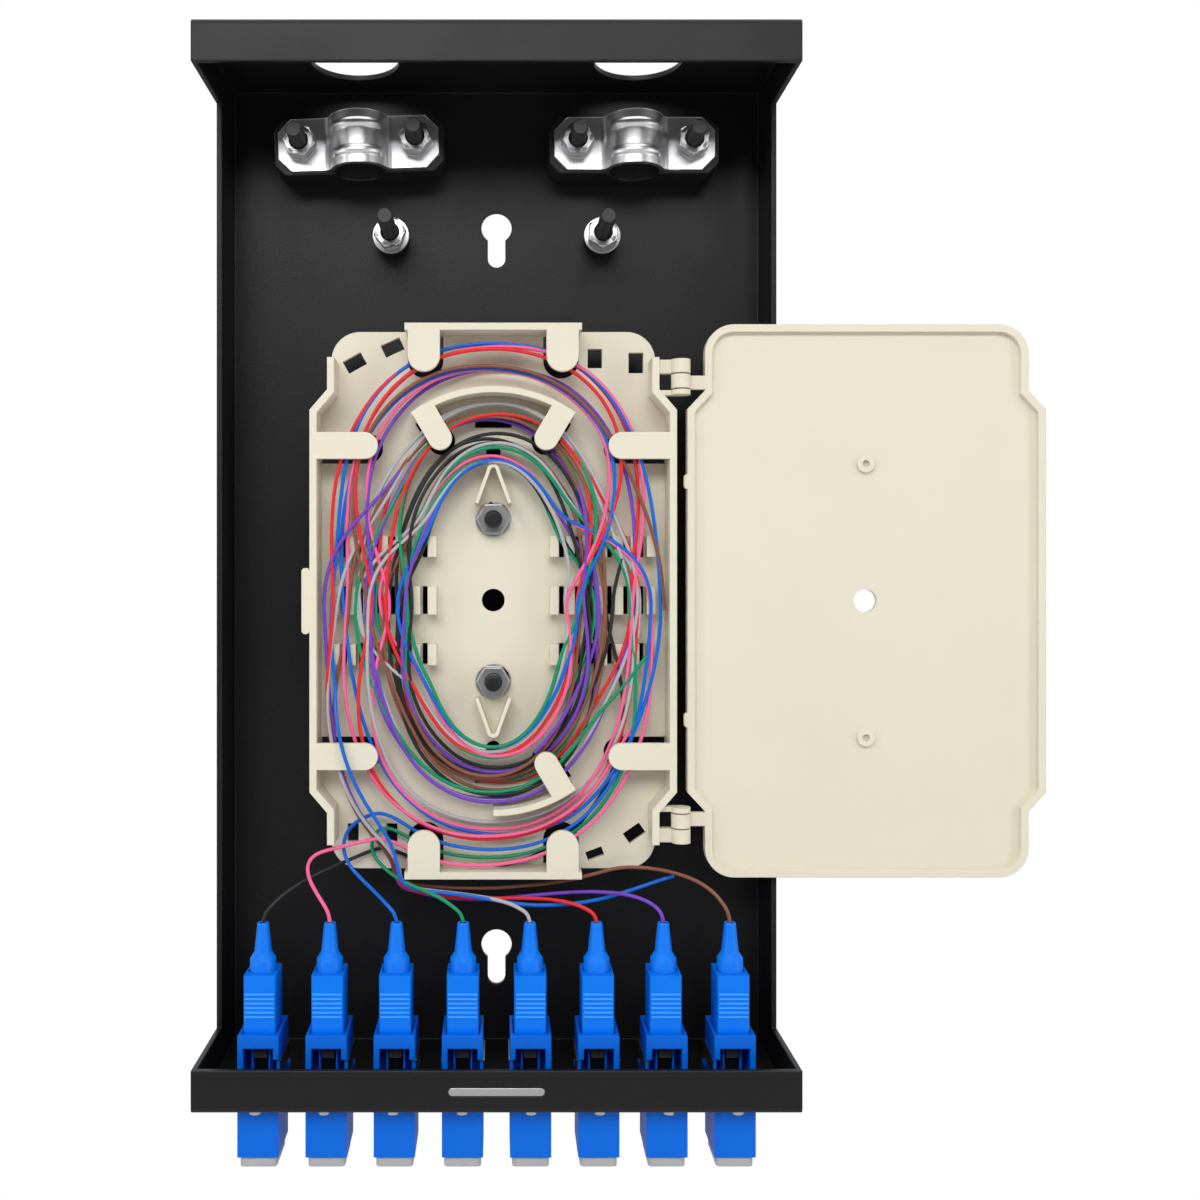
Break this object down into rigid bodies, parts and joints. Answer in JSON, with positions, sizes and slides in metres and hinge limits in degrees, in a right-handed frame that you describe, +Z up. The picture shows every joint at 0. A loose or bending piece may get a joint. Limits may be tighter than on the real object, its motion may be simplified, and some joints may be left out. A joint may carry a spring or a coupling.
{
  "type": "fibre termination box",
  "caption": "Wall-hung steel box with a fibre splice tray under a hinged lid, two cable clamps and a row of capped plug adapters along its lower edge.",
  "frame": {"origin": "centre of the back plate's rear face, on the wall", "axes": "+X right, +Z up, the open front faces -Y"},
  "size_m": [0.2001, 0.0412, 0.2589],
  "materials": {
    "powder_coat": "fine semi-matte powder coat",
    "plated_steel": "bright zinc plating",
    "bright_saddle": "polished plating",
    "black_steel": "black oxide, threaded",
    "black_plastic": "moulded, satin",
    "tray_plastic": "moulded ivory, satin",
    "spring_metal": "thin spring strip",
    "sleeve_ceramic": "ground",
    "core_plastic": "moulded black",
    "adapter_plastic": "moulded blue",
    "plug_plastic": "moulded bright blue",
    "boot_rubber": "soft blue",
    "cap_plastic": "translucent grey",
    "fibre_mixed": "smooth buffer, mixed colours",
    "fibre_black": "smooth buffer",
    "fibre_pink": "smooth buffer",
    "fibre_blue": "smooth buffer",
    "fibre_green": "smooth buffer",
    "fibre_slate": "smooth buffer",
    "fibre_red": "smooth buffer",
    "fibre_violet": "smooth buffer",
    "fibre_brown": "smooth buffer"
  },
  "bodies": {
    "root": {"enclosure": "powder_coat", "lip_strip": "plated_steel", "clamp_base_left": "black_plastic", "clamp_base_right": "black_plastic", "clamp_saddle_left": "bright_saddle", "clamp_saddle_right": "bright_saddle", "clamp_studs": "black_steel", "clamp_washers": "plated_steel", "clamp_nuts": "plated_steel", "tie_bosses": "black_plastic", "tie_studs": "black_steel", "tie_washers": "plated_steel", "tie_nuts": "plated_steel", "splice_tray": "tray_plastic", "tray_studs": "black_steel", "tray_spacers": "black_plastic", "tray_nuts": "plated_steel", "adapter_clips": "spring_metal", "adapter_sleeves": "sleeve_ceramic", "adapter_screws": "plated_steel", "adapter_nuts": "plated_steel", "plug_cores": "core_plastic", "plug_ferrules": "sleeve_ceramic", "plug_boots": "boot_rubber", "fibre_coil": "fibre_mixed", "fibre_blue_tail": "fibre_blue", "adapter_1": "adapter_plastic", "adapter_2": "adapter_plastic", "adapter_3": "adapter_plastic", "adapter_4": "adapter_plastic", "adapter_5": "adapter_plastic", "adapter_6": "adapter_plastic", "adapter_7": "adapter_plastic", "adapter_8": "adapter_plastic", "fibre_black": "fibre_black", "fibre_pink": "fibre_pink", "fibre_blue": "fibre_blue", "fibre_green": "fibre_green", "fibre_slate": "fibre_slate", "fibre_red": "fibre_red", "fibre_violet": "fibre_violet", "fibre_brown": "fibre_brown"},
    "tray_lid": {"tray_lid": "tray_plastic"},
    "dust_cap_1": {"dust_cap_1": "cap_plastic"},
    "plug_grip_1": {"plug_grip_1": "plug_plastic"},
    "dust_cap_2": {"dust_cap_2": "cap_plastic"},
    "plug_grip_2": {"plug_grip_2": "plug_plastic"},
    "dust_cap_3": {"dust_cap_3": "cap_plastic"},
    "plug_grip_3": {"plug_grip_3": "plug_plastic"},
    "dust_cap_4": {"dust_cap_4": "cap_plastic"},
    "plug_grip_4": {"plug_grip_4": "plug_plastic"},
    "dust_cap_5": {"dust_cap_5": "cap_plastic"},
    "plug_grip_5": {"plug_grip_5": "plug_plastic"},
    "dust_cap_6": {"dust_cap_6": "cap_plastic"},
    "plug_grip_6": {"plug_grip_6": "plug_plastic"},
    "dust_cap_7": {"dust_cap_7": "cap_plastic"},
    "plug_grip_7": {"plug_grip_7": "plug_plastic"},
    "dust_cap_8": {"dust_cap_8": "cap_plastic"},
    "plug_grip_8": {"plug_grip_8": "plug_plastic"}
  },
  "joints": [
    {"name": "lid_hinge", "type": "hinge", "parent": "root", "child": "tray_lid", "pos_m": [0.0441, -0.0204, -0.0084], "axis": [0, 0, -1], "range_deg": [0, 180]},
    {"name": "cap_pull_1", "type": "slide", "parent": "root", "child": "dust_cap_1", "axis": [0, 0, -1], "range_m": [0, 0.012]},
    {"name": "grip_pull_1", "type": "slide", "parent": "root", "child": "plug_grip_1", "axis": [0, 0, 1], "range_m": [0, 0.0015]},
    {"name": "cap_pull_2", "type": "slide", "parent": "root", "child": "dust_cap_2", "axis": [0, 0, -1], "range_m": [0, 0.012]},
    {"name": "grip_pull_2", "type": "slide", "parent": "root", "child": "plug_grip_2", "axis": [0, 0, 1], "range_m": [0, 0.0015]},
    {"name": "cap_pull_3", "type": "slide", "parent": "root", "child": "dust_cap_3", "axis": [0, 0, -1], "range_m": [0, 0.012]},
    {"name": "grip_pull_3", "type": "slide", "parent": "root", "child": "plug_grip_3", "axis": [0, 0, 1], "range_m": [0, 0.0015]},
    {"name": "cap_pull_4", "type": "slide", "parent": "root", "child": "dust_cap_4", "axis": [0, 0, -1], "range_m": [0, 0.012]},
    {"name": "grip_pull_4", "type": "slide", "parent": "root", "child": "plug_grip_4", "axis": [0, 0, 1], "range_m": [0, 0.0015]},
    {"name": "cap_pull_5", "type": "slide", "parent": "root", "child": "dust_cap_5", "axis": [0, 0, -1], "range_m": [0, 0.012]},
    {"name": "grip_pull_5", "type": "slide", "parent": "root", "child": "plug_grip_5", "axis": [0, 0, 1], "range_m": [0, 0.0015]},
    {"name": "cap_pull_6", "type": "slide", "parent": "root", "child": "dust_cap_6", "axis": [0, 0, -1], "range_m": [0, 0.012]},
    {"name": "grip_pull_6", "type": "slide", "parent": "root", "child": "plug_grip_6", "axis": [0, 0, 1], "range_m": [0, 0.0015]},
    {"name": "cap_pull_7", "type": "slide", "parent": "root", "child": "dust_cap_7", "axis": [0, 0, -1], "range_m": [0, 0.012]},
    {"name": "grip_pull_7", "type": "slide", "parent": "root", "child": "plug_grip_7", "axis": [0, 0, 1], "range_m": [0, 0.0015]},
    {"name": "cap_pull_8", "type": "slide", "parent": "root", "child": "dust_cap_8", "axis": [0, 0, -1], "range_m": [0, 0.012]},
    {"name": "grip_pull_8", "type": "slide", "parent": "root", "child": "plug_grip_8", "axis": [0, 0, 1], "range_m": [0, 0.0015]}
  ]
}
